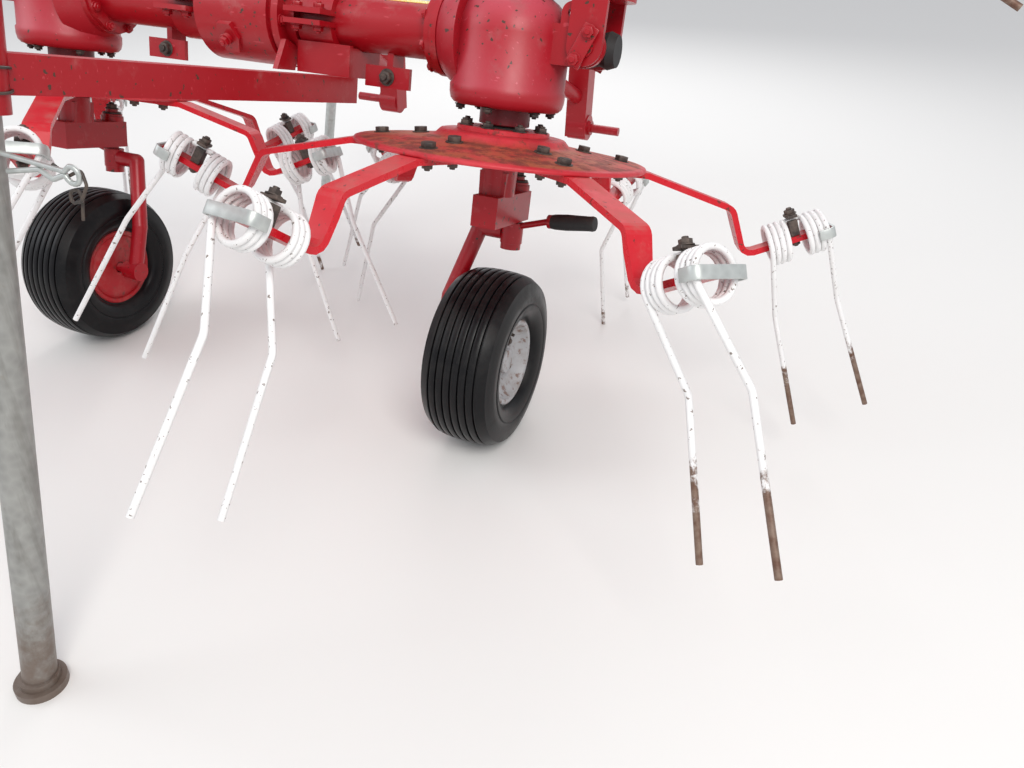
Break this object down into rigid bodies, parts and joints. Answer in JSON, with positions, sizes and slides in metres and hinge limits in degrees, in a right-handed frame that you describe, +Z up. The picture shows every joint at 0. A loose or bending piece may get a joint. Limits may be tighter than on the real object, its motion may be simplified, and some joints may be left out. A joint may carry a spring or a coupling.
{
  "type": "hay tedder",
  "caption": "Mounted rotary hay tedder with folded outer rotors, coil spring tines on cranked arms, swivel wheels and parking stands.",
  "frame": {"origin": "centre of the bounding box's base, on the ground", "axes": "+X to the machine's right, +Y forward to the tractor, +Z up"},
  "size_m": [3.262, 2.302, 2.753],
  "materials": {
    "frame_red": "faded red paint with dust",
    "arm_red": "bright red paint",
    "disc_orange": "faded orange paint with dust and rust",
    "tine_white": "chipped white paint with rusty tips",
    "galvanised": "dull zinc coating",
    "dark_steel": "bare, lightly rusted",
    "black_rubber": "matt",
    "tyre_rubber": "matt with circumferential ribs",
    "rim_silver": "silver paint with rust",
    "black_paint": "black paint",
    "bright_rod": "polished"
  },
  "bodies": {
    "base": {"center_gearbox": "frame_red", "inner_tubes": "frame_red", "tube_clamps": "frame_red", "inner_gearboxes": "frame_red", "rubber_boots": "black_rubber", "inner_posts": "frame_red", "rear_beam": "frame_red", "headstock": "frame_red"},
    "input_shaft": {"input_shaft": "dark_steel"},
    "rear_stand": {"rear_stand": "galvanised"},
    "front_stand": {"front_stand": "galvanised"},
    "wing_right": {"wing_beam_right": "frame_red", "wing_post_right": "frame_red"},
    "barrel_right": {"barrel_right": "black_paint"},
    "rod_right": {"rod_right": "bright_rod"},
    "wing_left": {"wing_beam_left": "frame_red", "wing_post_left": "frame_red"},
    "barrel_left": {"barrel_left": "black_paint"},
    "rod_left": {"rod_left": "bright_rod"},
    "rotor_inner_right": {"disc_inner_right": "disc_orange", "arms_inner_right": "arm_red", "tines_inner_right": "tine_white", "clips_inner_right": "galvanised"},
    "leg_inner_right": {"leg_inner_right": "frame_red"},
    "wheel_inner_right": {"tyre_inner_right": "tyre_rubber", "rim_inner_right": "rim_silver"},
    "rotor_inner_left": {"disc_inner_left": "disc_orange", "arms_inner_left": "arm_red", "tines_inner_left": "tine_white", "clips_inner_left": "galvanised"},
    "leg_inner_left": {"leg_inner_left": "frame_red"},
    "wheel_inner_left": {"tyre_inner_left": "tyre_rubber", "rim_inner_left": "rim_silver"},
    "rotor_outer_right": {"disc_outer_right": "disc_orange", "arms_outer_right": "arm_red", "tines_outer_right": "tine_white", "clips_outer_right": "galvanised"},
    "leg_outer_right": {"leg_outer_right": "frame_red"},
    "wheel_outer_right": {"tyre_outer_right": "tyre_rubber", "rim_outer_right": "rim_silver"},
    "rotor_outer_left": {"disc_outer_left": "disc_orange", "arms_outer_left": "arm_red", "tines_outer_left": "tine_white", "clips_outer_left": "galvanised"},
    "leg_outer_left": {"leg_outer_left": "frame_red"},
    "wheel_outer_left": {"tyre_outer_left": "tyre_rubber", "rim_outer_left": "rim_silver"}
  },
  "joints": [
    {"name": "fold_right", "type": "hinge", "parent": "base", "child": "wing_right", "pos_m": [0.752, -0.041, 0.875], "axis": [0, 0.9781, -0.2079], "range_deg": [0, 94]},
    {"name": "cylinder_swing_right", "type": "hinge", "parent": "base", "child": "barrel_right", "pos_m": [0.164, 0.00786, 1.10486], "axis": [0, 0.9781, -0.2079], "range_deg": [-12, 12]},
    {"name": "cylinder_stroke_right", "type": "slide", "parent": "barrel_right", "child": "rod_right", "axis": [0.9828, -0.0383, -0.1804], "range_m": [-0.02, 0.32]},
    {"name": "fold_left", "type": "hinge", "parent": "base", "child": "wing_left", "pos_m": [-0.752, -0.041, 0.875], "axis": [0, -0.9781, 0.2079], "range_deg": [0, 94]},
    {"name": "cylinder_swing_left", "type": "hinge", "parent": "base", "child": "barrel_left", "pos_m": [-0.164, 0.00786, 1.10486], "axis": [0, -0.9781, 0.2079], "range_deg": [-12, 12]},
    {"name": "cylinder_stroke_left", "type": "slide", "parent": "barrel_left", "child": "rod_left", "axis": [-0.9828, -0.0383, -0.1804], "range_m": [-0.02, 0.32]},
    {"name": "spin_inner_right", "type": "hinge", "parent": "base", "child": "rotor_inner_right", "pos_m": [0.585, -0.041, 0.875], "axis": [0, 0.2079, 0.9781], "continuous": true},
    {"name": "swivel_inner_right", "type": "hinge", "parent": "base", "child": "leg_inner_right", "pos_m": [0.585, -0.0096, 0.46961], "axis": [0, 0.2079, 0.9781], "range_deg": [-18, 18]},
    {"name": "roll_inner_right", "type": "hinge", "parent": "leg_inner_right", "child": "wheel_inner_right", "pos_m": [0.585, -0.131, 0.2025], "axis": [1, 0, 0], "continuous": true},
    {"name": "spin_inner_left", "type": "hinge", "parent": "base", "child": "rotor_inner_left", "pos_m": [-0.585, -0.041, 0.875], "axis": [0, 0.2079, 0.9781], "continuous": true},
    {"name": "swivel_inner_left", "type": "hinge", "parent": "base", "child": "leg_inner_left", "pos_m": [-0.585, -0.0096, 0.46961], "axis": [0, 0.2079, 0.9781], "range_deg": [-18, 18]},
    {"name": "roll_inner_left", "type": "hinge", "parent": "leg_inner_left", "child": "wheel_inner_left", "pos_m": [-0.585, -0.131, 0.2025], "axis": [-1, 0, 0], "continuous": true},
    {"name": "spin_outer_right", "type": "hinge", "parent": "wing_right", "child": "rotor_outer_right", "pos_m": [0.752, 0.16753, 1.85608], "axis": [-1, 0, 0], "continuous": true},
    {"name": "swivel_outer_right", "type": "hinge", "parent": "wing_right", "child": "leg_outer_right", "pos_m": [1.142, 0.28002, 1.83217], "axis": [-1, 0, 0], "range_deg": [-18, 18]},
    {"name": "roll_outer_right", "type": "hinge", "parent": "leg_outer_right", "child": "wheel_outer_right", "pos_m": [1.42852, 0.21819, 1.84532], "axis": [0, 0.2079, 0.9781], "continuous": true},
    {"name": "spin_outer_left", "type": "hinge", "parent": "wing_left", "child": "rotor_outer_left", "pos_m": [-0.752, 0.16753, 1.85608], "axis": [1, 0, 0], "continuous": true},
    {"name": "swivel_outer_left", "type": "hinge", "parent": "wing_left", "child": "leg_outer_left", "pos_m": [-1.142, 0.28002, 1.83217], "axis": [1, 0, 0], "range_deg": [-18, 18]},
    {"name": "roll_outer_left", "type": "hinge", "parent": "leg_outer_left", "child": "wheel_outer_left", "pos_m": [-1.42852, 0.21819, 1.84532], "axis": [0, 0.2079, 0.9781], "continuous": true},
    {"name": "input_spin", "type": "hinge", "parent": "base", "child": "input_shaft", "pos_m": [0, -0.041, 0.875], "axis": [0, 0.9781, -0.2079], "continuous": true},
    {"name": "rear_stand_height", "type": "slide", "parent": "base", "child": "rear_stand", "axis": [0, 0.2079, 0.9781], "range_m": [0, 0.11]},
    {"name": "front_stand_height", "type": "slide", "parent": "base", "child": "front_stand", "axis": [0.1754, 0, 0.9845], "range_m": [0, 0.55]}
  ],
  "couplings": [
    {"joint": "cylinder_swing_right", "follows": "fold_right", "ratio": -0.03234},
    {"joint": "cylinder_stroke_right", "follows": "fold_right", "m_per_rad": 0.1807},
    {"joint": "cylinder_swing_left", "follows": "fold_left", "ratio": -0.03234},
    {"joint": "cylinder_stroke_left", "follows": "fold_left", "m_per_rad": 0.1807},
    {"joint": "spin_inner_left", "follows": "spin_inner_right", "ratio": -1},
    {"joint": "spin_outer_right", "follows": "spin_inner_right", "ratio": -1},
    {"joint": "spin_outer_left", "follows": "spin_inner_right", "ratio": 1},
    {"joint": "input_spin", "follows": "spin_inner_right", "ratio": 3}
  ]
}
